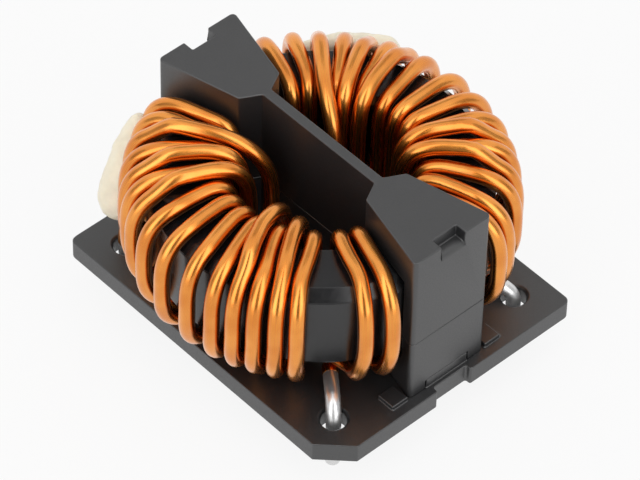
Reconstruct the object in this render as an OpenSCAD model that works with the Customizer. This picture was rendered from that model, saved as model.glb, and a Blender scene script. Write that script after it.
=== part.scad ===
// Through-hole common mode choke: a ring core in a two-part case carries two enamelled wire windings,
// kept apart by a dog-bone separator that stands on a flat base plate.
// Frame: +X runs along the separator to the corner-keyed end, +Y across it, +Z up the ring's axis.
// The origin is the centre of the base plate's underside, where it sits on the circuit board.

/* [Base plate] */
// Plate left beyond the lead holes' centres at each end
hole_end = 3.55; // [3.5:0.05:7]
// Plate left beyond the lead holes' centres at each side
hole_side = 3.2; // [2:0.1:8]
// Thickness of the base plate
base_t = 1.9; // [1.2:0.1:3]
// Leg of the slanted keying corner at the front
key_chamfer = 2.6; // [1:0.1:3.2]
// Radius of the three other corners
corner_r = 0.6; // [0.2:0.1:1.5]
// Width of the recess in each end edge
recess_w = 3.7; // [2:0.1:6]
// Depth of the recess in each end edge
recess_d = 0.55; // [0.2:0.05:0.8]
// Radius of the recess corners
recess_r = 0.2; // [0.05:0.05:0.25]

/* [Lead holes] */
// Distance of the lead holes' centres in from the case's outside, along the separator
hole_inset_l = 1.45; // [0.4:0.05:1.65]
// Distance of the lead holes' centres in from the case's outside, across the separator
hole_inset_w = 4.2; // [3.4:0.05:4.65]
// Diameter of each lead hole
hole_d = 2.2; // [1.7:0.1:2.6]
// Bevel around the mouth of each lead hole
hole_bevel = 0.2; // [0.1:0.05:0.4]

/* [Foot keys and pads] */
// Width of the key that each post stands over
key_w = 4.6; // [3:0.1:6]
// Length of the key, inwards from the post's end face
key_l = 3; // [1.5:0.1:4.5]
// Height of the key above the base plate
key_h = 0.95; // [0.5:0.05:1.5]
// Length of each raised pad beside the posts
pad_l = 1.8; // [1:0.1:3]
// Width of each raised pad beside the posts
pad_w = 1.7; // [0.8:0.1:2.2]
// Height of each raised pad
pad_h = 0.4; // [0.2:0.05:0.8]

/* [Separator] */
// Thickness of each post outside the core case
post_over = 1.15; // [0.85:0.05:1.6]
// Height of the post tops above the board
sep_top = 18; // [16.5:0.1:20]
// Width of each post at its outer face
post_w_out = 8.5; // [7.5:0.1:8.8]
// Width of each post at its inner shoulder
post_w_in = 4.5; // [3.5:0.1:4.7]
// Depth of each tapered post, from outer face to shoulder
post_l = 7.9; // [7.2:0.1:8.3]
// Length of the shoulder between post and wall
shoulder_l = 0.95; // [0.4:0.05:1.6]
// Thickness of the wall between the windings
wall_t = 0.95; // [0.8:0.05:1.5]
// Radius of the upright edges of the posts
post_edge_r = 0.4; // [0.1:0.05:0.8]
// Height above the board at which the upper and lower separators meet
parting_z = 8.25; // [7:0.05:10]
// Width of the pull notch in each post's top edge
notch_w = 2.6; // [2:0.1:4]
// Depth of the pull notch at the post's top
notch_d = 1.1; // [0.8:0.05:1.2]
// Height of the pull notch on the post's outer face
notch_h = 1.7; // [1:0.1:3]
// Radius of the front edge of the pull notch's floor
notch_r = 0.55; // [0.2:0.05:0.75]

/* [Core case] */
// Outer diameter of the core case
case_od = 28.8; // [26:0.1:36]
// Width of the core case between its inner and outer walls
case_w = 5.65; // [4.9:0.05:5.8]
// Overall height of the core case with its lid
case_h = 8.88; // [7.5:0.02:9.4]
// Height of the case's underside above the base plate
case_lift = 3.6; // [3.2:0.1:4.5]
// Wall and floor thickness of the case cup
case_wall = 0.8; // [0.5:0.05:1.2]
// Thickness of the case lid
lid_t = 0.9; // [0.7:0.05:1.2]
// Bevel on the case's outer ring edges
case_bevel = 0.9; // [0.7:0.05:0.9]
// Bevel on the case's inner ring edges
case_bevel_in = 0.6; // [0.5:0.05:0.9]
// Depth of the lip that centres the lid in the cup
lip_h = 0.6; // [0.3:0.05:1]
// Radial thickness of the lid's lip
lip_t = 0.6; // [0.4:0.05:0.8]

/* [Wire] */
// Diameter of the bare copper conductor
conductor_d = 1.28; // [1:0.02:1.28]
// Thickness of the enamel on the conductor
enamel_t = 0.05; // [0.02:0.01:0.05]
// Thickness of the tin on the lead ends
tin_t = 0.01; // [0.01:0.005:0.03]
// Extra thickness of the tin above the plate's underside, where it drew back in dipping
tin_swell = 0.01; // [0.005:0.005:0.02]
// Room between the wire and the case's outer wall, at mid height
side_slack = 1; // [0.9:0.02:1.6]
// Room between the wire and the case's inner wall
inner_slack = 0.19; // [0.16:0.01:0.25]
// Room between the wire and the middle of the case's top and underside
crown_slack = 0.29; // [0.24:0.01:0.4]

/* [Leads] */
// Length of the leads below the base plate
lead_below = 3.4; // [2:0.1:6]
// Centre line radius of the bend in the front leads
lead_bend_r = 1.8; // [1.2:0.05:1.9]
// Straight tinned length before the bend of the front leads
lead_straight_l = 1.9; // [0.8:0.05:2]
// Height of the back leads' tinned ends above the base plate
lead_stub = 0.3; // [0.1:0.05:0.6]
// Bevel on the lead tips
lead_bevel = 0.15; // [0.05:0.05:0.4]

/* [Adhesive] */
// Thickness of the adhesive on the left winding
glue_left_t = 2.1; // [1:0.1:3]
// Thickness of the adhesive on the right winding
glue_right_t = 1.5; // [1:0.1:3]

/* [Fits] */
// Room between the separator and the core case
case_clear = 0.12; // [0.05:0.01:0.2]
// Room between the post feet and the keys and pads
key_clear = 0.1; // [0.05:0.01:0.2]
// Room between the core, the lid's lip and the cup walls
core_clear = 0.1; // [0.05:0.01:0.3]
// Least room between the windings and the posts
post_clear = 0.1; // [0.05:0.01:0.3]
// Room between the windings and the adhesive
glue_clear = 0.05; // [0.02:0.01:0.2]

/* [Hidden] */

moulded_black = "#4a4a4c";
glossy_black = "#2b2b2e";
tape_grey = "#8d9096";
copper_enamel = "#d9822f";
tinned = "#d4d6d8";
glue_cream = "#f3ead2";

round_steps = 72;
arc_steps = 5;
ball_steps = 32;
overrun = 0.5;

wire_d = conductor_d + 2 * enamel_t;
wire_r = wire_d / 2;
lead_r = conductor_d / 2 + tin_t;
lead_top_r = lead_r + tin_swell;
wire_sides = 8;
turn_step = 15;
lead_steps = 12;
run_steps = 3;

case_r_out = case_od / 2;
case_r_in = case_r_out - case_w;
case_z = base_t + case_lift;
ring_r = (case_r_out + case_r_in) / 2;
ring_z = case_z + case_h / 2;
cup_h = case_h - lid_t;
core_r_in = case_r_in + case_wall + core_clear;
core_r_out = case_r_out - case_wall - core_clear;
core_h = cup_h - case_wall - lip_h - core_clear;

hole_r = hole_d / 2;
hole_x = case_r_out - hole_inset_l;
hole_y = case_r_out - hole_inset_w;
base_l = 2 * (hole_x + hole_end);
base_w = 2 * (hole_y + hole_side);
hole_reach = norm([hole_x, hole_y]);
hole_angle = atan2(hole_y, hole_x);

post_x_out = case_r_out + post_over;
post_x_in = post_x_out - post_l;
shoulder_x = post_x_in - shoulder_l;
// Slant of the posts' flanks, and how far from the ring's axis their planes pass
flank_angle = atan2(post_w_out - post_w_in, 2 * post_l);
flank_off = post_w_in / 2 * cos(flank_angle) - post_x_in * sin(flank_angle);

// Centre line of the wire around the case, in the plane through the ring's axis
reach_out = case_r_out + side_slack + wire_r - ring_r;
inner_r = case_r_in - inner_slack - wire_r;
reach_in = ring_r - inner_r;
reach_up = case_h / 2 + crown_slack + wire_r;
// Squareness of a turn outside and inside the ring, and what each layer further in takes off it
outer_square = 2.8;
inner_square = 5;
layer_round = 0.84;
// Distance between stacked layers inside the ring, as a share of the wire
layer_share = 0.98;

// Where a turn swings from its outer to its inner angle, and where it rises over its
// neighbours above and below the ring: far and near ends, as shares of the ring's width
swing_shares = [0.92, 0.06];
lead_swing_shares = [0.6, -0.1];
rise_shares = [1.04, 0.57];
drop_shares = [1, 0.7];
// The same for the drop of the turn that runs out above a front lead
lead_drop_shares = [0.7, 0.35];
// Lean of the lower outside of a turn towards the turn before it
lean_share = 0.1;
// Part of the back lead's climb that is taken by its sideways bend, and by its inward bend after that
climb_share = 0.64;
// Step down of the front lead and the inner layers below the turns, in wire diameters
step_share = 1.07;

// Arc that is free for wire to each side of the middle of a winding, outside the ring and inside it
free_out = 90 - flank_angle - asin((flank_off + wire_r + post_clear) / (ring_r + reach_out));
free_in = 90 - flank_angle - asin((flank_off + wire_r + post_clear) / inner_r);

// Each turn's angle outside the ring and inside it, and its sideways bow on the way down inside,
// as shares of the free arcs, from the middle of the winding
left_shares = [
    [0.96, 0.998, 0], [0.855, 0.848, 0], [0.751, 0.774, 0], [0.64, 0.699, 0], [0.535, 0.59, 0],
    [0.445, 0.479, 0], [0.355, 0.388, 0], [0.223, 0.295, 0], [0.076, 0.13, 0], [-0.076, -0.025, 0],
    [-0.202, -0.18, 0], [-0.299, -0.265, 0], [-0.389, -0.369, 0], [-0.48, -0.494, 0],
    [-0.565, -0.642, 0], [-0.843, -0.848, 0], [-0.955, -0.998, 0]];
right_shares = [
    [0.925, 0.956, 0], [0.793, 0.804, 0], [0.675, 0.701, -0.265], [0.556, 0.583, 0], [0.445, 0.479, 0],
    [0.348, 0.372, 0], [0.257, 0.288, 0], [0.16, 0.145, 0], [-0.007, -0.021, 0], [-0.16, -0.174, 0],
    [-0.299, -0.327, 0], [-0.41, -0.428, 0], [-0.494, -0.512, 0], [-0.598, -0.615, 0],
    [-0.701, -0.701, 0], [-0.851, -0.849, 0], [-0.942, -0.998, 0]];
// Each winding's crossing turn stands this far in from the others, as a share of their inside radius
left_cross_share = 0.48;
right_cross_share = 0.46;
left_cross = left_cross_share * inner_r / (layer_share * wire_d);
right_cross = right_cross_share * inner_r / (layer_share * wire_d);
// Each turn's layer inside the ring, its rise over the top and its drop below, in wire diameters,
// and where it drops if not at the usual place
left_layer_shares = [
    [0, 0, 0], [0, 0, 0], [left_cross, 0.88, step_share], [0, 0, 0], [1.1, 0.75, step_share],
    [0, 0, 0], [1.3, 0.8, step_share], [0, 0, 0], [0, 0, 0], [0, 0, 0],
    [0, 0, 0], [1.5, 0.75, step_share], [0, 0, 0], [1, 0.4, step_share], [0, 0, 0],
    [0, 0, 0], [0, 0, step_share]];
right_layer_shares = [
    [0, 0, 0], [0, 0, 0], [right_cross, 0.85, step_share], [0, 0, 0], [1, 0.75, step_share],
    [0, 0, 0], [1, 0.8, step_share], [0, 0, 0], [0, 0, 0], [0, 0, 0],
    [0, 0, 0], [1, 0.92, step_share], [0, 0, 0], [1, 0.97, step_share, lead_drop_shares], [0, 0, 0],
    [0, 0, 0], [0, 0, step_share]];

// Adhesive smears: angle, height as a share of the case, and size as a share of the thickness
glue_left_shares = [[-158, 0.72, 0.4], [-151, 0.56, 0.75], [-142.5, 0.22, 1]];
glue_right_shares = [[142, 0.66, 0.5], [132, 0.7, 0.9], [119, 0.72, 1]];

front_tin_r = hole_reach - lead_bend_r - lead_straight_l;
lead_z = ring_z - reach_up - step_share * wire_d;
stub_z = base_t + lead_stub;
winding_r = case_r_out + side_slack + wire_d;

// Shared shapes

function unit(v) = v / norm(v);
function smooth(t) = let (u = min(1, max(0, t))) u * u * (3 - 2 * u);
function at_width(share) = case_r_in + share * case_w;
function fade(r, shares) = let (far = at_width(shares[0])) smooth((far - r) / (far - at_width(shares[1])));
function signed_pow(v, e) = sign(v) * pow(abs(v), e);
function short_turn(a) = a > 180 ? a - 360 : a < -180 ? a + 360 : a;

// Arc that rounds the corner at b, between the edges from a and to c
function corner(a, b, c, r) =
    let (u = unit(a - b), v = unit(c - b), half = acos(u * v) / 2,
         mid = b + unit(u + v) * r / sin(half),
         from = b + u * r / tan(half) - mid, to = b + v * r / tan(half) - mid,
         start = atan2(from[1], from[0]), sweep = short_turn(atan2(to[1], to[0]) - start))
    [for (s = [0:arc_steps]) let (t = start + sweep * s / arc_steps) mid + r * [cos(t), sin(t)]];

// Outline with every corner rounded by its own radius, or left sharp where that is zero
function rounded(points, radii) = let (n = len(points))
    [for (i = [0:n - 1]) each radii[i] == 0 ? [points[i]]
        : corner(points[(i + n - 1) % n], points[i], points[(i + 1) % n], radii[i])];

// Places of the four like features in the corners of a rectangle
module at_corners(x, y) {
    for (sx = [-1, 1], sy = [-1, 1]) translate([sx * x, sy * y, 0]) children();
}

module ring(r_in, r_out, z, h) {
    translate([0, 0, z]) rotate_extrude($fn = round_steps) translate([r_in, 0]) square([r_out - r_in, h]);
}

// Base plate

module base_outline() {
    x = base_l / 2;
    y = base_w / 2;
    w = recess_w / 2;
    xr = x - recess_d;
    polygon(rounded(
        [[-x, -y], [x - key_chamfer, -y], [x, key_chamfer - y],
         [x, -w], [xr, -w], [xr, w], [x, w], [x, y], [-x, y], [-x, w], [-xr, w], [-xr, -w], [-x, -w]],
        [corner_r, 0, 0, recess_r, recess_r, recess_r, recess_r, corner_r, corner_r,
         recess_r, recess_r, recess_r, recess_r]));
}

// Lead hole with a bevelled mouth at both faces
module lead_hole() {
    mouth_r = hole_r + hole_bevel;
    translate([0, 0, -overrun]) cylinder(r = hole_r, h = base_t + 2 * overrun, $fn = round_steps);
    cylinder(r1 = mouth_r, r2 = hole_r, h = hole_bevel, $fn = round_steps);
    translate([0, 0, base_t - hole_bevel])
        cylinder(r1 = hole_r, r2 = mouth_r, h = hole_bevel, $fn = round_steps);
}

module foot_keys(grow, run, h) {
    for (s = [-1, 1])
        translate([s * (post_x_out - (key_l + grow - run) / 2), 0, base_t + h / 2])
            cube([key_l + grow + run, key_w + 2 * grow, h], center = true);
}

module base_plate() {
    pad_x = post_x_out - pad_l / 2;
    pad_y = post_w_out / 2 + key_clear + pad_w / 2;
    color(moulded_black) union() {
        difference() {
            linear_extrude(base_t) base_outline();
            at_corners(hole_x, hole_y) lead_hole();
        }
        foot_keys(0, 0, key_h);
        at_corners(pad_x, pad_y) translate([0, 0, base_t + pad_h / 2])
            cube([pad_l, pad_w, pad_h], center = true);
    }
}

// Separator

module separator_outline() {
    w_out = post_w_out / 2;
    w_in = post_w_in / 2;
    w = wall_t / 2;
    front = [[shoulder_x, -w], [post_x_in, -w_in], [post_x_out, -w_out]];
    quarter_radii = [0, post_edge_r, post_edge_r];
    mirrored = [for (i = [2:-1:0]) [front[i][0], -front[i][1]]];
    half = concat(front, mirrored);
    radii = concat(quarter_radii, [post_edge_r, post_edge_r, 0]);
    polygon(rounded(concat(half, [for (p = half) -p]), concat(radii, radii)));
}

// Room for the core case, flat under its floor
module case_room() {
    ring(case_r_in - case_clear, case_r_out + case_clear, case_z, case_h + case_clear);
}

// Pull notch in the top edge of a post's outer face, with a flat floor that rounds off at its front
module pull_notch() {
    translate([post_x_out, notch_w / 2, sep_top]) rotate([90, 0, 0])
        linear_extrude(notch_w) polygon(concat(
            [[overrun, -notch_h], [overrun, overrun], [-notch_d, overrun], [-notch_d, notch_r - notch_h]],
            corner([-notch_d, notch_r - notch_h], [0, notch_r - notch_h], [0, -notch_h], notch_r)));
}

module upper_separator() {
    color(moulded_black) difference() {
        translate([0, 0, parting_z]) linear_extrude(sep_top - parting_z) separator_outline();
        case_room();
        for (a = [0, 180]) rotate([0, 0, a]) pull_notch();
    }
}

module lower_separator() {
    color(moulded_black) difference() {
        translate([0, 0, base_t]) linear_extrude(parting_z - base_t) separator_outline();
        case_room();
        foot_keys(key_clear, overrun, key_h);
    }
}

// Core and its case

module ring_core() {
    color(tape_grey) ring(core_r_in, core_r_out, case_z + case_wall, core_h);
}

module case_cup() {
    b = case_bevel;
    b_in = case_bevel_in;
    color(glossy_black) translate([0, 0, case_z]) rotate_extrude($fn = round_steps)
        polygon([[case_r_in + b_in, 0], [case_r_out - b, 0], [case_r_out, b], [case_r_out, cup_h],
                 [case_r_out - case_wall, cup_h], [case_r_out - case_wall, case_wall],
                 [case_r_in + case_wall, case_wall], [case_r_in + case_wall, cup_h],
                 [case_r_in, cup_h], [case_r_in, b_in]]);
}

module case_lid() {
    b = min(case_bevel, lid_t);
    b_in = min(case_bevel_in, lid_t);
    lip_in = case_r_in + case_wall + core_clear;
    lip_out = case_r_out - case_wall - core_clear;
    color(glossy_black) union() {
        translate([0, 0, case_z + cup_h]) rotate_extrude($fn = round_steps)
            polygon([[case_r_in, 0], [case_r_out, 0], [case_r_out, lid_t - b],
                     [case_r_out - b, lid_t], [case_r_in + b_in, lid_t], [case_r_in, lid_t - b_in]]);
        ring(lip_in, lip_in + lip_t, case_z + cup_h - lip_h, lip_h);
        ring(lip_out - lip_t, lip_out, case_z + cup_h - lip_h, lip_h);
    }
}

// Windings

function turn_angles(shares) = [for (s = shares) [90 + s[0] * free_out, 90 + s[1] * free_in, s[2] * free_in]];

// Distance from the ring's axis at section angle phi: 0 outside, 90 on top, 180 inside, 270 below
function roundness(phi, layer) = 2 / (cos(phi) < 0 ? inner_square - layer_round * layer : outer_square);
function turn_reach(phi, layer) =
    let (reach = cos(phi) < 0 ? reach_in + layer * layer_share * wire_d : reach_out)
    ring_r + reach * signed_pow(cos(phi), roundness(phi, layer));
function turn_rise(phi, layer) = signed_pow(sin(phi), roundness(phi, layer));
function turn_height(rise, r, layers) =
    let (drops = len(layers) > 3 ? layers[3] : drop_shares,
         extra = rise > 0 ? layers[1] * fade(r, rise_shares) : layers[2] * fade(r, drops))
    ring_z + rise * (reach_up + extra * wire_d);
function swing(r, leaving) = fade(r, leaving ? lead_swing_shares : swing_shares);
function polar(r, angle, z, side) = [r * cos(angle), side * r * sin(angle), z];

// Point of turn k at section angle phi; below zero it is still on the run under the ring from the turn before
function turn_point(angles, layers, k, phi, side) =
    let (run = phi < 0 ? k - 1 : k, last = run == len(angles) - 1,
         r = turn_reach(phi, layers[run][0]), rise = turn_rise(phi, layers[run][0]),
         next = last ? hole_angle : angles[run + 1][0],
         bow = phi > 90 ? sin(90 * (1 - rise)) : 0,
         inner = angles[run][1] + angles[run][2] * bow,
         lean = phi < 0 ? lean_share * smooth(-rise) : 0,
         outer = phi >= 0 && phi <= 180 ? angles[run][0] : next + (inner - next) * lean,
         angle = outer + (inner - outer) * swing(r, last && phi > 180))
    polar(r, angle, turn_height(rise, r, layers[run]), side);

// The back lead climbs from its hole, bending sideways and then inwards to the first turn
function back_climb(angles, side) = [for (s = [0:lead_steps - 1])
    let (t = s / lead_steps, z = stub_z + (ring_z - stub_z) * t, from = 180 - hole_angle,
         k = smooth(t / climb_share), q = smooth((t - 1 + climb_share) / climb_share))
    polar(hole_reach + (ring_r + reach_out - hole_reach) * q, from + (angles[0][0] - from) * k, z, side)];

// The front lead runs out below the ring from the last turn
function front_run(angles, side) = [for (s = [1:run_steps])
    let (from = turn_reach(270 - turn_step, 0), r = from + (front_tin_r - from) * s / run_steps,
         inner = angles[len(angles) - 1][1])
    polar(r, hole_angle + (inner - hole_angle) * swing(r, true), lead_z, side)];

function winding_path(angles, layers, side) = concat(
    back_climb(angles, side),
    [for (k = [0:len(angles) - 1]) for (phi = [k == 0 ? 0 : -90 : turn_step : 270 - turn_step])
        turn_point(angles, layers, k, phi, side)],
    front_run(angles, side));

function direction(path, i, first, last) = i == 0 ? first : i == len(path) - 1 ? last
    : unit(path[i + 1] - path[i - 1]);

// Ring of points around the wire, square to its direction
function wire_ring(p, dir) =
    let (around = unit([-p[1], p[0], 0]), a = unit(around - (around * dir) * dir), b = cross(dir, a))
    [for (j = [0:wire_sides - 1]) let (t = 360 * j / wire_sides) p + wire_r * (cos(t) * a + sin(t) * b)];

module wire(path, first, last) {
    n = len(path);
    m = wire_sides;
    points = [for (i = [0:n - 1]) each wire_ring(path[i], direction(path, i, first, last))];
    skin = [for (i = [0:n - 2], j = [0:m - 1])
        let (a = i * m + j, b = i * m + (j + 1) % m)
        each [[a, a + m, b], [b, a + m, b + m]]];
    polyhedron(points, concat(skin, [[for (j = [0:m - 1]) j], [for (j = [m - 1:-1:0]) (n - 1) * m + j]]));
}

module winding(angles, layers, side) {
    out = [cos(hole_angle), side * sin(hole_angle), 0];
    color(copper_enamel) wire(winding_path(angles, layers, side), [0, 0, 1], out);
}

module winding_left() { winding(turn_angles(left_shares), left_layer_shares, -1); }

module winding_right() { winding(turn_angles(right_shares), right_layer_shares, 1); }

// Tinned lead ends

module lead_pin(top) {
    translate([0, 0, -lead_below]) {
        cylinder(r1 = lead_r - lead_bevel, r2 = lead_r, h = lead_bevel, $fn = round_steps);
        translate([0, 0, lead_bevel]) cylinder(r = lead_r, h = lead_below - lead_bevel, $fn = round_steps);
    }
    cylinder(r1 = lead_r, r2 = lead_top_r, h = top, $fn = round_steps);
}

// Front lead: pin, quarter bend and the straight end that meets the winding, pointing at the ring's axis
module front_lead(side) {
    color(tinned) translate([hole_x, side * hole_y, 0]) rotate([0, 0, side * hole_angle]) union() {
        lead_pin(lead_z - lead_bend_r);
        translate([-lead_bend_r, 0, lead_z - lead_bend_r]) rotate([90, 0, 0])
            rotate_extrude(angle = 90, $fn = round_steps)
                translate([lead_bend_r, 0]) circle(lead_top_r, $fn = round_steps);
        translate([-lead_bend_r - lead_straight_l, 0, lead_z]) rotate([0, 90, 0])
            cylinder(r = lead_top_r, h = lead_straight_l, $fn = round_steps);
    }
}

module back_lead(side) {
    color(tinned) translate([-hole_x, side * hole_y, 0]) lead_pin(stub_z);
}

module lead_left_front() { front_lead(-1); }

module lead_left_back() { back_lead(-1); }

module lead_right_front() { front_lead(1); }

module lead_right_back() { back_lead(1); }

// Adhesive smeared on the outside of the windings

module glue(shares, thickness) {
    color(glue_cream) difference() {
        hull() for (s = shares)
            translate(polar(winding_r, s[0], case_z + s[1] * case_h, 1))
                sphere(s[2] * thickness, $fn = ball_steps);
        cylinder(r = winding_r + glue_clear, h = sep_top, $fn = round_steps);
    }
}

module glue_left() { glue(glue_left_shares, glue_left_t); }

module glue_right() { glue(glue_right_shares, glue_right_t); }

base_plate();
lower_separator();
upper_separator();
ring_core();
case_cup();
case_lid();
winding_left();
winding_right();
lead_left_front();
lead_left_back();
lead_right_front();
lead_right_back();
glue_left();
glue_right();
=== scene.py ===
import math

import bpy
from bpy.props import FloatProperty, FloatVectorProperty, IntProperty, PointerProperty
from mathutils import Matrix, Vector


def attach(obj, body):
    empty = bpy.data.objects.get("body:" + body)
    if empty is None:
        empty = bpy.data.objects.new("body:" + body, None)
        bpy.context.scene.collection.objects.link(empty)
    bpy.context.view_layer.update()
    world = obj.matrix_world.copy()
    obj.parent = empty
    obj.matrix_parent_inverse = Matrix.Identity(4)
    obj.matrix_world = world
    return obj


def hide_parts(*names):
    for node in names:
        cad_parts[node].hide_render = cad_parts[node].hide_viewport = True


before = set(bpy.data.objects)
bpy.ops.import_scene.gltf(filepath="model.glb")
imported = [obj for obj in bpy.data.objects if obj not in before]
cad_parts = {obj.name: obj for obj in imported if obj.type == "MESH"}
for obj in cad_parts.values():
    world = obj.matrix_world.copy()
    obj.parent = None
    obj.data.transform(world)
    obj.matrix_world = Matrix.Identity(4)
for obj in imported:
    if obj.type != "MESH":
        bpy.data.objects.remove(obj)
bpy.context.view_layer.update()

bl_info = {
    "name": "Common mode choke",
    "version": (1, 0, 0),
    "blender": (4, 5, 0),
    "location": "3D View > Sidebar > Choke",
    "description": "Dresses the solids of a through-hole common mode choke",
    "category": "Object",
}

MM = 0.001
BODY = "root"

# Core case and base plate, in millimetres, as in the part's source
CASE_R_OUT = 14.4
CASE_R_IN = 8.75
CASE_Z = 5.5
CASE_H = 8.88
CUP_H = 7.98
CASE_WALL = 0.8
CASE_BEVEL = 0.9
CASE_BEVEL_IN = 0.6
LIP_GAP = 0.1
LIP_H = 0.6
LIP_T = 0.6
LID_RIM = 0.05
BASE_T = 1.9
RING_R = (CASE_R_OUT + CASE_R_IN) / 2
RING_Z = CASE_Z + CASE_H / 2
RING_W = CASE_R_OUT - CASE_R_IN

# Lead holes and leads, in millimetres
HOLE_X = 12.95
HOLE_Y = 10.2
HOLE_REACH = math.hypot(HOLE_X, HOLE_Y)
HOLE_ANGLE = math.degrees(math.atan2(HOLE_Y, HOLE_X))
LEAD_BELOW = 3.4
LEAD_BEND_R = 1.8
LEAD_RUN = 1.9
STUB_RISE = 0.3
STUB_Z = BASE_T + STUB_RISE
FRONT_TIN_R = HOLE_REACH - LEAD_BEND_R - LEAD_RUN
FEATHER = 0.005
FILM_L = 3

# Lead tips: heights above the end of the pin in millimetres, and radii as shares of the lead's
TIP_HEIGHTS = (0.3, 0.15, 0.06, 0)
TIP_SHARES = (1, 0.97, 0.9, 0.76)

# How far the tin swells, as a share of the lead's radius, and how fast from point to point, in radians
SWELL_SHARE = 0.012
SWELL_STEP = 1.7

# Course of the wire round the case, as in the part's source
SIDE_SLACK = 1.0
INNER_SLACK = 0.19
CROWN_SLACK = 0.29
OUTER_SQUARE = 2.8
INNER_SQUARE = 5
LAYER_ROUND = 0.84
LAYER_SHARE = 0.98
SWING_SHARES = (0.92, 0.06)
LEAD_SWING_SHARES = (0.6, -0.1)
RISE_SHARES = (1.04, 0.57)
DROP_SHARES = (1, 0.7)
LEAD_DROP_SHARES = (0.7, 0.35)
LEAN_SHARE = 0.1
CLIMB_SHARE = 0.64
STEP_SHARE = 1.07
WIRE_L = 605

# Each turn's outer angle, inner angle, bow inside, layer inside, rise on top and drop below,
# and where it drops if not at the usual place
LEFT_TURNS = (
    (159, 157.7, 0, 0, 0, 0), (151.5, 147.5, 0, 0, 0, 0), (144, 142.5, 0, 2.793, 0.88, STEP_SHARE),
    (136, 137.4, 0, 0, 0, 0), (128.5, 130, 0, 1.1, 0.75, STEP_SHARE), (122, 122.5, 0, 0, 0, 0),
    (115.5, 116.3, 0, 1.3, 0.8, STEP_SHARE), (106, 110, 0, 0, 0, 0), (95.5, 98.8, 0, 0, 0, 0),
    (84.5, 88.3, 0, 0, 0, 0), (75.5, 77.8, 0, 0, 0, 0), (68.5, 72, 0, 1.5, 0.75, STEP_SHARE),
    (62, 65, 0, 0, 0, 0), (55.5, 56.5, 0, 1, 0.4, STEP_SHARE), (49.3, 46.5, 0, 0, 0, 0),
    (29.4, 32.5, 0, 0, 0, 0), (21.4, 22.3, 0, 0, 0, STEP_SHARE))
RIGHT_TURNS = (
    (156.5, 154.8, 0, 0, 0, 0), (147, 144.5, 0, 0, 0, 0), (138.5, 137.5, -18, 2.677, 0.85, STEP_SHARE),
    (130, 129.5, 0, 0, 0, 0), (122, 122.5, 0, 1, 0.75, STEP_SHARE), (115, 115.2, 0, 0, 0, 0),
    (108.5, 109.5, 0, 1, 0.8, STEP_SHARE), (101.5, 99.8, 0, 0, 0, 0), (89.5, 88.6, 0, 0, 0, 0),
    (78.5, 78.2, 0, 0, 0, 0), (68.5, 67.8, 0, 0, 0, 0), (60.5, 61, 0, 1, 0.92, STEP_SHARE),
    (54.5, 55.3, 0, 0, 0, 0), (47, 48.3, 0, 1, 0.97, STEP_SHARE, LEAD_DROP_SHARES),
    (39.6, 42.5, 0, 0, 0, 0), (28.8, 32.4, 0, 0, 0, 0), (22.3, 22.3, 0, 0, 0, STEP_SHARE))

# Adhesive smears: angle, height as a share of the case, and radius in millimetres
LEFT_SMEAR = ((-158, 0.72, 0.84), (-151, 0.56, 1.575), (-142.5, 0.22, 2.1))
RIGHT_SMEAR = ((142, 0.66, 0.75), (132, 0.7, 1.35), (119, 0.72, 1.5))

# Fineness of the meshes
MERGE = 0.002 * MM
WIRE_MERGE = 0.0005 * MM
RING_STEPS = 180
WIRE_SIDES = 20
LEAD_SIDES = 24
CLIMB_STEPS = 40
RUN_STEPS = 6
LEAD_RUN_STEPS = 8
BEND_STEPS = 16
PIN_STEPS = 14

# The part of a noise texture's range that a finish makes use of
NOISE_SPAN = {"From Min": 0.3, "From Max": 0.7}


def linear(code):
    """Linear colour of an sRGB hex code."""
    channels = [int(code[i:i + 2], 16) / 255 for i in (1, 3, 5)]
    return [c / 12.92 if c <= 0.04045 else ((c + 0.055) / 1.055) ** 2.4 for c in channels] + [1.0]


def colour_property(name, description, code):
    return FloatVectorProperty(name=name, description=description, default=linear(code), size=4,
                               subtype="COLOR", min=0, max=1)


def length_property(name, description, millimetres):
    return FloatProperty(name=name, description=description, default=millimetres * MM,
                         subtype="DISTANCE", unit="LENGTH", precision=5)


class ChokeSizes(bpy.types.PropertyGroup):
    wire_d: length_property("Wire", "Diameter of the enamelled wire", 1.38)
    lead_d: length_property("Lead", "Diameter of the tinned lead ends", 1.3)
    plate_edge: length_property("Plate edge", "Edge softening of the base plate", 0.1)
    post_edge: length_property("Post edge", "Edge softening of the separator", 0.12)
    case_edge: length_property("Case edge", "Edge softening of the core case", 0.15)
    wire_step: IntProperty(name="Wire step", description="Degrees of a turn between two points of the wire",
                           default=5, min=3, max=15)


class ChokeColours(bpy.types.PropertyGroup):
    moulding: colour_property("Moulding", "Black filled nylon of the plate and separator", "#141416")
    case: colour_property("Case", "Black plastic of the core case", "#141416")
    copper: colour_property("Copper", "Copper seen through its enamel", "#ec9840")
    copper_deep: colour_property("Deep copper", "Copper under thicker enamel", "#de852f")
    tin: colour_property("Tin", "Tinned wire ends", "#dcdcdc")
    glue: colour_property("Glue", "Cured adhesive", "#efe6cf")
    tape: colour_property("Tape", "Wound metal tape of the core", "#8d9096")
    floor: colour_property("Floor", "Floor and backdrop", "#d4d4d4")


def add(tree, kind, settings=None, sockets=None):
    """Adds a node with its settings, and sets or links its sockets."""
    node = tree.nodes.new(kind)
    for name, value in (settings or {}).items():
        setattr(node, name, value)
    for name, value in (sockets or {}).items():
        if isinstance(value, bpy.types.NodeSocket):
            tree.links.new(value, node.inputs[name])
        else:
            node.inputs[name].default_value = value
    return node


def start_material(name):
    """Empty node material, and its tree and output."""
    material = bpy.data.materials.new(name)
    material.use_nodes = True
    tree = material.node_tree
    tree.nodes.clear()
    return material, tree, add(tree, "ShaderNodeOutputMaterial")


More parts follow.
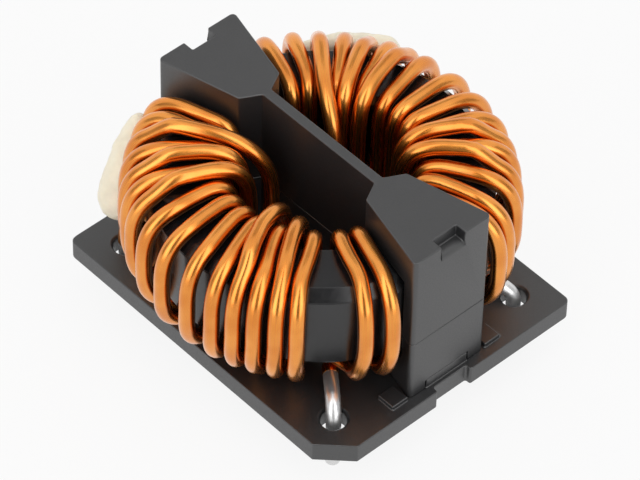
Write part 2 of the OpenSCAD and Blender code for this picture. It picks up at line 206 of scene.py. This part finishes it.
def set_ramp(node, stops):
    """Sets a colour ramp to (place, colour) stops."""
    ramp = node.color_ramp
    while len(ramp.elements) > len(stops):
        ramp.elements.remove(ramp.elements[-1])
    while len(ramp.elements) < len(stops):
        ramp.elements.new(1)
    for element, (place, colour) in zip(ramp.elements, stops):
        element.position = place
        element.color = colour


def grey(value):
    return (value, value, value, 1)


def tinted(colour, factor):
    return [c * factor for c in colour[:3]] + [1]


def shown_rays(tree):
    """One for rays of the camera, of reflections and of clear pieces, and nought for light."""
    path = add(tree, "ShaderNodeLightPath")
    mirrored = add(tree, "ShaderNodeMath", {"operation": "MAXIMUM"},
                   {0: path.outputs["Is Camera Ray"], 1: path.outputs["Is Glossy Ray"]})
    clear = add(tree, "ShaderNodeMath", {"operation": "MAXIMUM"},
                {0: mirrored.outputs["Value"], 1: path.outputs["Is Transmission Ray"]})
    return clear.outputs["Value"]


# Glass-filled nylon from a spark-eroded mould: fine matte grain, faint cloudy flow marks
def filled_nylon(colour):
    material, tree, output = start_material("filled_nylon_spark_finish")
    place = add(tree, "ShaderNodeTexCoord").outputs["Object"]
    # Grit of 0.09 mm, drawn as 0.14 mm so that it shows
    grit = add(tree, "ShaderNodeTexNoise", None, {"Vector": place, "Scale": 1 / (0.14 * MM), "Detail": 3.0})
    flow = add(tree, "ShaderNodeTexNoise", None, {"Vector": place, "Scale": 1 / (4 * MM), "Detail": 4.0})
    tone = add(tree, "ShaderNodeValToRGB", None, {"Fac": flow.outputs["Fac"]})
    set_ramp(tone, ((0.3, tinted(colour, 0.86)), (0.7, tinted(colour, 1.1))))
    rough = add(tree, "ShaderNodeMapRange", None,
                {"Value": grit.outputs["Fac"], **NOISE_SPAN, "To Min": 0.38, "To Max": 0.5})
    bump = add(tree, "ShaderNodeBump", None,
               {"Height": grit.outputs["Fac"], "Strength": 0.3, "Distance": 0.02 * MM})
    shader = add(tree, "ShaderNodeBsdfPrincipled", None,
                 {"Base Color": tone.outputs["Color"], "Roughness": rough.outputs["Result"],
                  "Normal": bump.outputs["Normal"], "IOR": 1.6, "Specular IOR Level": 0.9})
    tree.links.new(shader.outputs["BSDF"], output.inputs["Surface"])
    return material


# Smooth moulded PBT: satin gloss with a slow ripple in its reflections
def smooth_pbt(colour):
    material, tree, output = start_material("smooth_moulded_pbt")
    place = add(tree, "ShaderNodeTexCoord").outputs["Object"]
    ripple = add(tree, "ShaderNodeTexNoise", None, {"Vector": place, "Scale": 1 / (2.5 * MM), "Detail": 2.0})
    haze = add(tree, "ShaderNodeTexNoise", None, {"Vector": place, "Scale": 1 / (0.5 * MM), "Detail": 5.0})
    rough = add(tree, "ShaderNodeMapRange", None,
                {"Value": haze.outputs["Fac"], **NOISE_SPAN, "To Min": 0.18, "To Max": 0.26})
    tone = add(tree, "ShaderNodeValToRGB", None, {"Fac": haze.outputs["Fac"]})
    set_ramp(tone, ((0.3, tinted(colour, 0.9)), (0.7, tinted(colour, 1.1))))
    bump = add(tree, "ShaderNodeBump", None,
               {"Height": ripple.outputs["Fac"], "Strength": 0.25, "Distance": 0.03 * MM})
    shader = add(tree, "ShaderNodeBsdfPrincipled", None,
                 {"Base Color": tone.outputs["Color"], "Roughness": rough.outputs["Result"],
                  "Normal": bump.outputs["Normal"], "IOR": 1.54})
    tree.links.new(shader.outputs["BSDF"], output.inputs["Surface"])
    return material


# Drawn copper under clear amber enamel: warm metal with faint lengthwise streaks and a thin clear coat
def enamelled_copper(colour, deep, wire_d):
    material, tree, output = start_material("enamelled_drawn_copper")
    coords = add(tree, "ShaderNodeTexCoord")
    # Drawing marks of 0.05 mm by 25 mm, drawn 0.18 mm wide so that they show
    along = add(tree, "ShaderNodeMapping", None,
                {"Vector": coords.outputs["UV"], "Scale": (math.pi * wire_d / 0.18, WIRE_L / 25, 1)})
    streak = add(tree, "ShaderNodeTexNoise", None,
                 {"Vector": along.outputs["Vector"], "Scale": 1.0, "Detail": 3.0})
    pool = add(tree, "ShaderNodeTexNoise", None,
               {"Vector": coords.outputs["Object"], "Scale": 1 / (3 * MM), "Detail": 2.0})
    tone = add(tree, "ShaderNodeValToRGB", None, {"Fac": pool.outputs["Fac"]})
    set_ramp(tone, ((0.35, list(deep)), (0.6, list(colour))))
    rough = add(tree, "ShaderNodeMapRange", None,
                {"Value": streak.outputs["Fac"], **NOISE_SPAN, "To Min": 0.23, "To Max": 0.31})
    bump = add(tree, "ShaderNodeBump", None,
               {"Height": streak.outputs["Fac"], "Strength": 0.12, "Distance": 0.01 * MM})
    shader = add(tree, "ShaderNodeBsdfPrincipled", None,
                 {"Base Color": tone.outputs["Color"], "Metallic": 1.0, "Roughness": rough.outputs["Result"],
                  "Normal": bump.outputs["Normal"], "Coat Weight": 0.45, "Coat Roughness": 0.12,
                  "Coat IOR": 1.55})
    tree.links.new(shader.outputs["BSDF"], output.inputs["Surface"])
    return material


# Dip-tinned copper: bright, slightly lumpy, with copper showing through near the enamel
def dipped_tin(colour, copper):
    material, tree, output = start_material("dip_tinned_copper")
    coords = add(tree, "ShaderNodeTexCoord")
    lumps = add(tree, "ShaderNodeTexNoise", None,
                {"Vector": coords.outputs["Object"], "Scale": 1 / (0.9 * MM), "Detail": 3.0})
    film = add(tree, "ShaderNodeAttribute", {"attribute_name": "tin_film"})
    edge = add(tree, "ShaderNodeMath", {"operation": "MULTIPLY_ADD"},
               {0: lumps.outputs["Fac"], 1: 0.5, 2: film.outputs["Fac"]})
    tone = add(tree, "ShaderNodeValToRGB", None, {"Fac": edge.outputs["Value"]})
    set_ramp(tone, ((0.06, list(copper)), (0.13, list(colour))))
    rough = add(tree, "ShaderNodeMapRange", None,
                {"Value": lumps.outputs["Fac"], **NOISE_SPAN, "To Min": 0.27, "To Max": 0.38})
    bump = add(tree, "ShaderNodeBump", None,
               {"Height": lumps.outputs["Fac"], "Strength": 0.5, "Distance": 0.05 * MM})
    shader = add(tree, "ShaderNodeBsdfPrincipled", None,
                 {"Base Color": tone.outputs["Color"], "Metallic": 0.85, "Roughness": rough.outputs["Result"],
                  "Normal": bump.outputs["Normal"]})
    tree.links.new(shader.outputs["BSDF"], output.inputs["Surface"])
    return material


# Cured adhesive: cream, waxy and a little translucent
def cured_glue(colour):
    material, tree, output = start_material("cured_cream_adhesive")
    place = add(tree, "ShaderNodeTexCoord").outputs["Object"]
    cloud = add(tree, "ShaderNodeTexNoise", None, {"Vector": place, "Scale": 1 / (1.2 * MM), "Detail": 3.0})
    tone = add(tree, "ShaderNodeValToRGB", None, {"Fac": cloud.outputs["Fac"]})
    set_ramp(tone, ((0.3, tinted(colour, 0.9)), (0.65, list(colour))))
    bump = add(tree, "ShaderNodeBump", None,
               {"Height": cloud.outputs["Fac"], "Strength": 0.3, "Distance": 0.08 * MM})
    shader = add(tree, "ShaderNodeBsdfPrincipled", None,
                 {"Base Color": tone.outputs["Color"], "Roughness": 0.38, "Normal": bump.outputs["Normal"],
                  "IOR": 1.5, "Subsurface Weight": 0.12, "Subsurface Scale": 0.5 * MM,
                  "Subsurface Radius": (1.0, 0.8, 0.5)})
    tree.links.new(shader.outputs["BSDF"], output.inputs["Surface"])
    return material


# Wound metal tape: grey metal with fine rings round the axis
def wound_tape(colour):
    material, tree, output = start_material("wound_metal_tape")
    place = add(tree, "ShaderNodeTexCoord").outputs["Object"]
    # Tape of 0.02 mm, drawn as rings of 0.25 mm so that they show
    rings = add(tree, "ShaderNodeTexWave", {"wave_type": "RINGS", "rings_direction": "Z"},
                {"Vector": place, "Scale": 1 / (0.25 * MM * 20), "Distortion": 0.4})
    tone = add(tree, "ShaderNodeValToRGB", None, {"Fac": rings.outputs["Fac"]})
    set_ramp(tone, ((0.2, tinted(colour, 0.7)), (0.8, list(colour))))
    shader = add(tree, "ShaderNodeBsdfPrincipled", None,
                 {"Base Color": tone.outputs["Color"], "Metallic": 1.0, "Roughness": 0.35})
    tree.links.new(shader.outputs["BSDF"], output.inputs["Surface"])
    return material


def finish_piece(piece, material, node):
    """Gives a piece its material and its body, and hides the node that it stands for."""
    piece.data.materials.clear()
    piece.data.materials.append(material)
    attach(piece, BODY)
    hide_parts(node)


def deselect():
    bpy.ops.object.select_all(action="DESELECT")


def activate(piece):
    deselect()
    piece.select_set(True)
    bpy.context.view_layer.objects.active = piece


def apply_modifiers(piece):
    activate(piece)
    for name in [m.name for m in piece.modifiers]:
        bpy.ops.object.modifier_apply(modifier=name)


def edit_whole(piece):
    activate(piece)
    bpy.ops.object.mode_set(mode="EDIT")
    bpy.ops.mesh.select_all(action="SELECT")


def round_edges(piece, edge):
    """Smooth shading, with the sharp edges rounded."""
    bpy.ops.object.mode_set(mode="OBJECT")
    bpy.ops.object.shade_smooth()
    soften = piece.modifiers.new("soften", "BEVEL")
    soften.width = edge
    soften.segments = 3
    soften.limit_method = "ANGLE"
    soften.angle_limit = math.radians(28)
    soften.use_clamp_overlap = False
    soften.harden_normals = True
    soften.miter_outer = "MITER_ARC"
    apply_modifiers(piece)


def new_path(name, points, closed):
    """Straight-sided curve through points in millimetres."""
    deselect()
    bpy.ops.curve.primitive_nurbs_path_add()
    piece = bpy.context.object
    piece.name = name
    piece.data.dimensions = "3D"
    piece.data.splines.clear()
    spline = piece.data.splines.new("POLY")
    spline.points.add(len(points) - 1)
    for point, (x, y, z) in zip(spline.points, points):
        point.co = (x * MM, y * MM, z * MM, 1)
    spline.use_cyclic_u = closed
    return piece


def path_to_mesh(piece):
    bpy.ops.object.convert(target="MESH")
    piece.data.name = piece.name


def softened_copy(node, name, edge):
    """Copy of a node's solid with its flat faces joined up and its edges rounded."""
    piece = bpy.data.objects.new(name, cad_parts[node].data.copy())
    piece.data.name = name
    bpy.context.scene.collection.objects.link(piece)
    activate(piece)
    bpy.ops.mesh.customdata_custom_splitnormals_clear()
    edit_whole(piece)
    bpy.ops.mesh.remove_doubles(threshold=MERGE)
    bpy.ops.mesh.dissolve_limited(angle_limit=math.radians(0.5))
    round_edges(piece, edge)
    return piece


def spun_ring(name, outline, edge):
    """Ring spun round the axis from a closed outline of radius and height, with rounded edges."""
    piece = new_path(name, [(radius, 0, height) for radius, height in outline], True)
    path_to_mesh(piece)
    edit_whole(piece)
    bpy.ops.mesh.spin(steps=RING_STEPS, dupli=False, angle=2 * math.pi, center=(0, 0, 0), axis=(0, 0, 1))
    bpy.ops.mesh.select_all(action="SELECT")
    bpy.ops.mesh.remove_doubles(threshold=MERGE)
    bpy.ops.mesh.normals_make_consistent(inside=False)
    round_edges(piece, edge)
    return piece


def swept_wire(name, points, radii, sides):
    """Round wire along points in millimetres, as thick at each as its radius in millimetres."""
    piece = new_path(name, points, False)
    curve = piece.data
    for point, radius in zip(curve.splines[0].points, radii):
        point.radius = radius
    curve.bevel_depth = MM
    curve.bevel_resolution = (sides - 4) // 2
    curve.use_fill_caps = True
    path_to_mesh(piece)
    edit_whole(piece)
    bpy.ops.mesh.remove_doubles(threshold=WIRE_MERGE)
    bpy.ops.mesh.normals_make_consistent(inside=False)
    bpy.ops.object.mode_set(mode="OBJECT")
    bpy.ops.object.shade_smooth_by_angle(angle=math.radians(50))
    return piece


def smooth(t):
    u = min(1, max(0, t))
    return u * u * (3 - 2 * u)


def fade(r, shares):
    far, near = (CASE_R_IN + share * RING_W for share in shares)
    return smooth((far - r) / (far - near))


def signed_power(value, exponent):
    return math.copysign(abs(value) ** exponent, value)


def polar(r, angle, z, side):
    turn = math.radians(angle)
    return (r * math.cos(turn), side * r * math.sin(turn), z)


def turn_point(turns, k, phi, side, wire_d):
    """Point of turn k at section angle phi: 0 outside, 90 on top, 180 inside, 270 below the ring."""
    run = k - 1 if phi < 0 else k
    last = run == len(turns) - 1
    first_angle, inner, bow, layer, rise_layers, drop_layers, *own = turns[run]
    drops = own[0] if own else DROP_SHARES
    c = math.cos(math.radians(phi))
    s = math.sin(math.radians(phi))
    inside = c < -1e-9
    exponent = 2 / (INNER_SQUARE - LAYER_ROUND * layer if inside else OUTER_SQUARE)
    reach_in = RING_R - (CASE_R_IN - INNER_SLACK - wire_d / 2) + layer * LAYER_SHARE * wire_d
    reach_out = CASE_R_OUT + SIDE_SLACK + wire_d / 2 - RING_R
    r = RING_R + (reach_in if inside else reach_out) * signed_power(c, exponent)
    rise = signed_power(s, exponent)
    extra = rise_layers * fade(r, RISE_SHARES) if rise > 0 else drop_layers * fade(r, drops)
    z = RING_Z + rise * (CASE_H / 2 + CROWN_SLACK + wire_d / 2 + extra * wire_d)
    following = HOLE_ANGLE if last else turns[run + 1][0]
    if phi > 90:
        inner += bow * math.sin(math.pi * (1 - rise) / 2)
    outer = first_angle if 0 <= phi <= 180 else following
    if phi < 0:
        outer += (inner - outer) * LEAN_SHARE * smooth(-rise)
    swing = fade(r, LEAD_SWING_SHARES if last and phi > 180 else SWING_SHARES)
    return polar(r, outer + (inner - outer) * swing, z, side)


def winding_path(turns, side, wire_d, step):
    """Centre line of a winding, from its back lead to its front lead, in millimetres."""
    outer_r = CASE_R_OUT + SIDE_SLACK + wire_d / 2
    start = 180 - HOLE_ANGLE
    points = []
    for s in range(CLIMB_STEPS):
        t = s / CLIMB_STEPS
        sideways = smooth(t / CLIMB_SHARE)
        inwards = smooth((t - 1 + CLIMB_SHARE) / CLIMB_SHARE)
        points.append(polar(HOLE_REACH + (outer_r - HOLE_REACH) * inwards,
                            start + (turns[0][0] - start) * sideways, STUB_Z + (RING_Z - STUB_Z) * t, side))
    for k in range(len(turns)):
        points += [turn_point(turns, k, phi, side, wire_d) for phi in range(0 if k == 0 else -90, 270, step)]
    lead_z = front_lead_z(wire_d)
    for s in range(RUN_STEPS + 1):
        r = RING_R + (FRONT_TIN_R - RING_R) * s / RUN_STEPS
        angle = HOLE_ANGLE + (turns[-1][1] - HOLE_ANGLE) * fade(r, LEAD_SWING_SHARES)
        points.append(polar(r, angle, lead_z, side))
    return points


def front_lead_z(wire_d):
    return RING_Z - CASE_H / 2 - CROWN_SLACK - wire_d / 2 - STEP_SHARE * wire_d


class CHOKE_OT_mouldings(bpy.types.Operator):
    """Base plate and separator mouldings, with softened edges"""
    bl_idname = "choke.mouldings"
    bl_label = "Mouldings"

    def execute(self, context):
        sizes = context.scene.choke_sizes
        nylon = filled_nylon(context.scene.choke_colours.moulding)
        for node, edge in (("base_plate", sizes.plate_edge), ("lower_separator", sizes.post_edge),
                           ("upper_separator", sizes.post_edge)):
            piece = softened_copy(node, node + "_moulding", edge)
            finish_piece(piece, nylon, node)
        return {"FINISHED"}


class CHOKE_OT_case(bpy.types.Operator):
    """Core case: cup and lid, spun from their sections, and the core inside"""
    bl_idname = "choke.case"
    bl_label = "Core case"

    def execute(self, context):
        edge = context.scene.choke_sizes.case_edge
        colours = context.scene.choke_colours
        pbt = smooth_pbt(colours.case)
        z = CASE_Z
        top = CASE_Z + CUP_H
        b = CASE_BEVEL
        b_in = CASE_BEVEL_IN
        cup = ((CASE_R_IN + b_in, z), (CASE_R_OUT - b, z), (CASE_R_OUT, z + b), (CASE_R_OUT, top),
               (CASE_R_OUT - CASE_WALL, top), (CASE_R_OUT - CASE_WALL, z + CASE_WALL),
               (CASE_R_IN + CASE_WALL, z + CASE_WALL), (CASE_R_IN + CASE_WALL, top),
               (CASE_R_IN, top), (CASE_R_IN, z + b_in))
        finish_piece(spun_ring("case_cup_shell", cup, edge), pbt, "case_cup")
        lip_in = CASE_R_IN + CASE_WALL + LIP_GAP
        lip_out = CASE_R_OUT - CASE_WALL - LIP_GAP
        crown = CASE_Z + CASE_H
        lid = ((CASE_R_IN, top), (lip_in, top), (lip_in, top - LIP_H), (lip_in + LIP_T, top - LIP_H),
               (lip_in + LIP_T, top), (lip_out - LIP_T, top), (lip_out - LIP_T, top - LIP_H),
               (lip_out, top - LIP_H), (lip_out, top), (CASE_R_OUT, top), (CASE_R_OUT, top + LID_RIM),
               (CASE_R_OUT - b, crown), (CASE_R_IN + b_in, crown), (CASE_R_IN, crown - b_in))
        finish_piece(spun_ring("case_lid_shell", lid, edge / 3), pbt, "case_lid")
        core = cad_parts["ring_core"]
        core.data.materials.clear()
        core.data.materials.append(wound_tape(colours.tape))
        return {"FINISHED"}


class CHOKE_OT_windings(bpy.types.Operator):
    """Left and right windings of round enamelled wire"""
    bl_idname = "choke.windings"
    bl_label = "Windings"

    def execute(self, context):
        sizes = context.scene.choke_sizes
        colours = context.scene.choke_colours
        wire_d = sizes.wire_d / MM
        copper = enamelled_copper(colours.copper, colours.copper_deep, wire_d)
        lead_r = sizes.lead_d / MM / 2
        for name, turns, side in (("winding_left", LEFT_TURNS, -1), ("winding_right", RIGHT_TURNS, 1)):
            points = winding_path(turns, side, wire_d, sizes.wire_step)
            radii = [wire_d / 2] * len(points)
            # The enamel ends in a short feathered edge at both leads
            radii[0] = lead_r + FEATHER
            radii[-1] = lead_r + FEATHER
            piece = swept_wire(name + "_wire", points, radii, WIRE_SIDES)
            finish_piece(piece, copper, name)
        return {"FINISHED"}


class CHOKE_OT_leads(bpy.types.Operator):
    """Tinned lead ends, bent down through the plate's holes"""
    bl_idname = "choke.leads"
    bl_label = "Leads"

    def execute(self, context):
        sizes = context.scene.choke_sizes
        colours = context.scene.choke_colours
        tin = dipped_tin(colours.tin, colours.copper)
        radius = sizes.lead_d / MM / 2
        z = front_lead_z(sizes.wire_d / MM)
        for side, hand in ((-1, "left"), (1, "right")):
            self.lead("lead_%s_front" % hand, self.front_path(z, side), radius, tin)
            self.lead("lead_%s_back" % hand, self.pin_path(-HOLE_X, side * HOLE_Y, STUB_Z), radius, tin)
        return {"FINISHED"}

    def front_path(self, z, side):
        """Straight end under the ring, quarter bend and pin."""
        points = []
        for s in range(LEAD_RUN_STEPS):
            points.append(polar(FRONT_TIN_R + LEAD_RUN * s / LEAD_RUN_STEPS, HOLE_ANGLE, z, side))
        for s in range(BEND_STEPS):
            t = math.radians(90 * s / BEND_STEPS)
            r = FRONT_TIN_R + LEAD_RUN + LEAD_BEND_R * math.sin(t)
            points.append(polar(r, HOLE_ANGLE, z - LEAD_BEND_R * (1 - math.cos(t)), side))
        return points + self.pin_path(HOLE_X, side * HOLE_Y, z - LEAD_BEND_R)

    def pin_path(self, x, y, top):
        """Pin down to its rounded tip."""
        tip_heights = [height - LEAD_BELOW for height in TIP_HEIGHTS]
        heights = [top + (tip_heights[0] - top) * s / PIN_STEPS for s in range(PIN_STEPS)]
        return [(x, y, z) for z in heights + tip_heights]

    def lead(self, name, points, radius, tin):
        # The dipped tin swells and thins a little along the lead
        radii = [radius * (1 - SWELL_SHARE * (1 + math.sin(SWELL_STEP * i))) for i in range(len(points))]
        radii[-len(TIP_SHARES):] = [radius * share for share in TIP_SHARES]
        piece = swept_wire(name + "_tin", points, radii, LEAD_SIDES)
        film = piece.data.attributes.new("tin_film", "FLOAT", "POINT")
        start = Vector(points[0]) * MM
        for vertex, value in zip(piece.data.vertices, film.data):
            value.value = min(1, (vertex.co - start).length / (FILM_L * MM))
        finish_piece(piece, tin, name)


class CHOKE_OT_adhesive(bpy.types.Operator):
    """Adhesive smeared over the outside of the windings"""
    bl_idname = "choke.adhesive"
    bl_label = "Adhesive"

    # Grain of the mesh, and width and depth of the uneven places, in millimetres
    grain = 0.12
    uneven_w = 1.6
    uneven_t = 0.3

    def execute(self, context):
        glue = cured_glue(context.scene.choke_colours.glue)
        wire_d = context.scene.choke_sizes.wire_d / MM
        reach = CASE_R_OUT + SIDE_SLACK + wire_d
        for node, smear in (("glue_left", LEFT_SMEAR), ("glue_right", RIGHT_SMEAR)):
            piece = self.smear(node + "_smear", smear, reach)
            finish_piece(piece, glue, node)
        return {"FINISHED"}

    def smear(self, name, lumps, reach):
        """Hull over round lumps, remeshed, slackened and made a little uneven."""
        deselect()
        balls = []
        for angle, share, radius in lumps:
            bpy.ops.mesh.primitive_uv_sphere_add(segments=32, ring_count=16, radius=radius * MM)
            ball = bpy.context.object
            middle = Vector(polar(reach, angle, CASE_Z + share * CASE_H, 1)) * MM
            ball.data.transform(Matrix.Translation(middle))
            balls.append(ball)
        activate(balls[0])
        for ball in balls[1:]:
            ball.select_set(True)
        bpy.ops.object.join()
        piece = bpy.context.object
        piece.location = (0, 0, 0)
        piece.name = name
        piece.data.name = name
        edit_whole(piece)
        bpy.ops.mesh.convex_hull()
        bpy.ops.object.mode_set(mode="OBJECT")
        voxels = piece.modifiers.new("voxels", "REMESH")
        voxels.mode = "VOXEL"
        voxels.voxel_size = self.grain * MM
        slack = piece.modifiers.new("slack", "SMOOTH")
        slack.iterations = 12
        uneven = piece.modifiers.new("uneven", "DISPLACE")
        clouds = bpy.data.textures.new(name + "_clouds", "CLOUDS")
        clouds.noise_scale = self.uneven_w * MM
        uneven.texture = clouds
        uneven.texture_coords = "LOCAL"
        uneven.strength = self.uneven_t * MM
        uneven.mid_level = 0.6
        apply_modifiers(piece)
        bpy.ops.object.shade_smooth()
        return piece


class CHOKE_OT_stage(bpy.types.Operator):
    """Floor, soft lights, world and camera"""
    bl_idname = "choke.stage"
    bl_label = "Stage"

    # Place of the camera, in degrees and millimetres
    azimuth = 46.576
    elevation = 46.935
    roll = -1.396
    across = 0.1217
    lift = 3.7801
    distance = 379.0
    lens = 253.18

    # Softboxes: angle from the camera in degrees, width and height in millimetres, and radiance
    softboxes = (("left_softbox", -39, 276, 2400, 1.4), ("right_softbox", 39, 276, 2400, 1.4))
    softbox_reach = 400

    # Grey cards: angle from the camera, width, height, tone, and the angle at which one hangs over the floor
    flags = (("middle_flag", 0, 250, 2000, 0.25), ("left_flag", -84, 300, 400, 0.5),
             ("right_flag", 84, 300, 400, 0.5), ("far_flag", 180, 300, 200, 0.6, 47))
    flag_reach = 470

    # Share of the floor that shows as white, the rest keeps the shadow
    white_share = 0.88

    def execute(self, context):
        scene = context.scene
        scene.view_settings.view_transform = "Standard"
        self.floor(scene.choke_colours.floor)
        self.world(scene)
        for panel in self.softboxes:
            self.softbox(*panel)
        for card in self.flags:
            self.flag(*card)
        self.camera(scene)
        return {"FINISHED"}

    def floor(self, colour):
        deselect()
        bpy.ops.mesh.primitive_plane_add(size=4, location=(0, 0, -LEAD_BELOW * MM))
        floor = bpy.context.object
        floor.name = "studio_floor"
        material, tree, output = start_material("pale_studio_floor")
        seen = add(tree, "ShaderNodeMath", {"operation": "MULTIPLY"},
                   {0: shown_rays(tree), 1: self.white_share})
        matte = add(tree, "ShaderNodeBsdfDiffuse", None, {"Color": colour})
        glow = add(tree, "ShaderNodeEmission", None, {"Color": grey(1.0), "Strength": 1.0})
        mix = add(tree, "ShaderNodeMixShader", None,
                  {"Fac": seen.outputs["Value"], 1: matte.outputs["BSDF"], 2: glow.outputs["Emission"]})
        tree.links.new(mix.outputs["Shader"], output.inputs["Surface"])
        floor.data.materials.append(material)

    def world(self, scene):
        """White to the camera and in reflections, and a soft fill light that is brighter overhead."""
        world = bpy.data.worlds.new("studio")
        scene.world = world
        world.use_nodes = True
        tree = world.node_tree
        tree.nodes.clear()
        aim = add(tree, "ShaderNodeTexCoord").outputs["Generated"]
        height = add(tree, "ShaderNodeSeparateXYZ", None, {"Vector": aim}).outputs["Z"]
        level = add(tree, "ShaderNodeMapRange", None,
                    {"Value": height, "From Min": 0.0, "From Max": 0.9, "To Min": 0.75, "To Max": 1.05})
        fill = add(tree, "ShaderNodeBackground", None,
                   {"Color": grey(1.0), "Strength": level.outputs["Result"]})
        white = add(tree, "ShaderNodeBackground", None, {"Color": grey(1.0), "Strength": 1.0})
        mix = add(tree, "ShaderNodeMixShader", None,
                  {"Fac": shown_rays(tree), 1: fill.outputs["Background"], 2: white.outputs["Background"]})
        output = add(tree, "ShaderNodeOutputWorld")
        tree.links.new(mix.outputs["Shader"], output.inputs["Surface"])

    def panel_place(self, offset, distance, height, lift=0):
        """Place and turn of a panel that faces the part, on the floor or hung at an angle above it."""
        turn = math.radians(self.azimuth + offset)
        rise = math.radians(lift)
        toward = Vector((math.sin(turn) * math.cos(rise), -math.cos(turn) * math.cos(rise), math.sin(rise)))
        foot = Vector((0, 0, 0 if lift else height / 2 * MM))
        return toward * distance * MM + foot, toward.to_track_quat("Z", "Y").to_euler()

    def softbox(self, name, offset, width, height, radiance):
        """Tall light panel, sized in millimetres."""
        deselect()
        place, turn = self.panel_place(offset, self.softbox_reach, height)
        bpy.ops.object.light_add(type="AREA", location=place, rotation=turn)
        lamp = bpy.context.object
        lamp.name = name
        lamp.data.shape = "RECTANGLE"
        lamp.data.size = width * MM
        lamp.data.size_y = height * MM
        lamp.data.energy = radiance * math.pi * width * height * MM * MM

    def flag(self, name, offset, width, height, tone, lift=0):
        """Grey card, sized in millimetres, that shows in the wire as a darker line."""
        deselect()
        place, turn = self.panel_place(offset, self.flag_reach, height, lift)
        bpy.ops.mesh.primitive_plane_add(size=1, location=place, rotation=turn)
        card = bpy.context.object
        card.name = name
        card.scale = (width * MM, height * MM, 1)
        material, tree, output = start_material(name + "_card")
        matte = add(tree, "ShaderNodeBsdfDiffuse", None, {"Color": grey(tone)})
        tree.links.new(matte.outputs["BSDF"], output.inputs["Surface"])
        card.data.materials.append(material)
        card.visible_camera = False

    def camera(self, scene):
        azimuth = math.radians(self.azimuth)
        elevation = math.radians(self.elevation)
        roll = math.radians(self.roll)
        back = Vector((math.sin(azimuth) * math.cos(elevation), -math.cos(azimuth) * math.cos(elevation),
                       math.sin(elevation)))
        level = Vector((math.cos(azimuth), math.sin(azimuth), 0))
        upright = back.cross(level)
        right = math.cos(roll) * level - math.sin(roll) * upright
        up = math.sin(roll) * level + math.cos(roll) * upright
        place = (self.across * right + self.lift * up + self.distance * back) * MM
        deselect()
        bpy.ops.object.camera_add()
        camera = bpy.context.object
        camera.name = "photo_camera"
        turn = Matrix((right, up, back)).transposed().to_4x4()
        camera.matrix_world = Matrix.Translation(place) @ turn
        camera.data.lens = self.lens
        camera.data.sensor_width = 36
        camera.data.clip_start = 0.01
        camera.data.clip_end = 20
        scene.camera = camera


class CHOKE_PT_panel(bpy.types.Panel):
    bl_idname = "CHOKE_PT_panel"
    bl_label = "Common mode choke"
    bl_space_type = "VIEW_3D"
    bl_region_type = "UI"
    bl_category = "Choke"

    def draw(self, context):
        layout = self.layout
        for group in (context.scene.choke_sizes, context.scene.choke_colours):
            for name in group.__annotations__:
                layout.prop(group, name)
        for operator in OPERATORS:
            layout.operator(operator.bl_idname)


OPERATORS = (CHOKE_OT_stage, CHOKE_OT_mouldings, CHOKE_OT_case, CHOKE_OT_windings, CHOKE_OT_leads,
             CHOKE_OT_adhesive)
CLASSES = (ChokeSizes, ChokeColours, *OPERATORS, CHOKE_PT_panel)


def register():
    for cls in CLASSES:
        bpy.utils.register_class(cls)
    bpy.types.Scene.choke_sizes = PointerProperty(type=ChokeSizes)
    bpy.types.Scene.choke_colours = PointerProperty(type=ChokeColours)


def unregister():
    del bpy.types.Scene.choke_colours
    del bpy.types.Scene.choke_sizes
    for cls in reversed(CLASSES):
        bpy.utils.unregister_class(cls)


def main():
    register()
    bpy.ops.choke.stage()
    bpy.ops.choke.mouldings()
    bpy.ops.choke.case()
    bpy.ops.choke.windings()
    bpy.ops.choke.leads()
    bpy.ops.choke.adhesive()


if __name__ == "__main__":
    main()
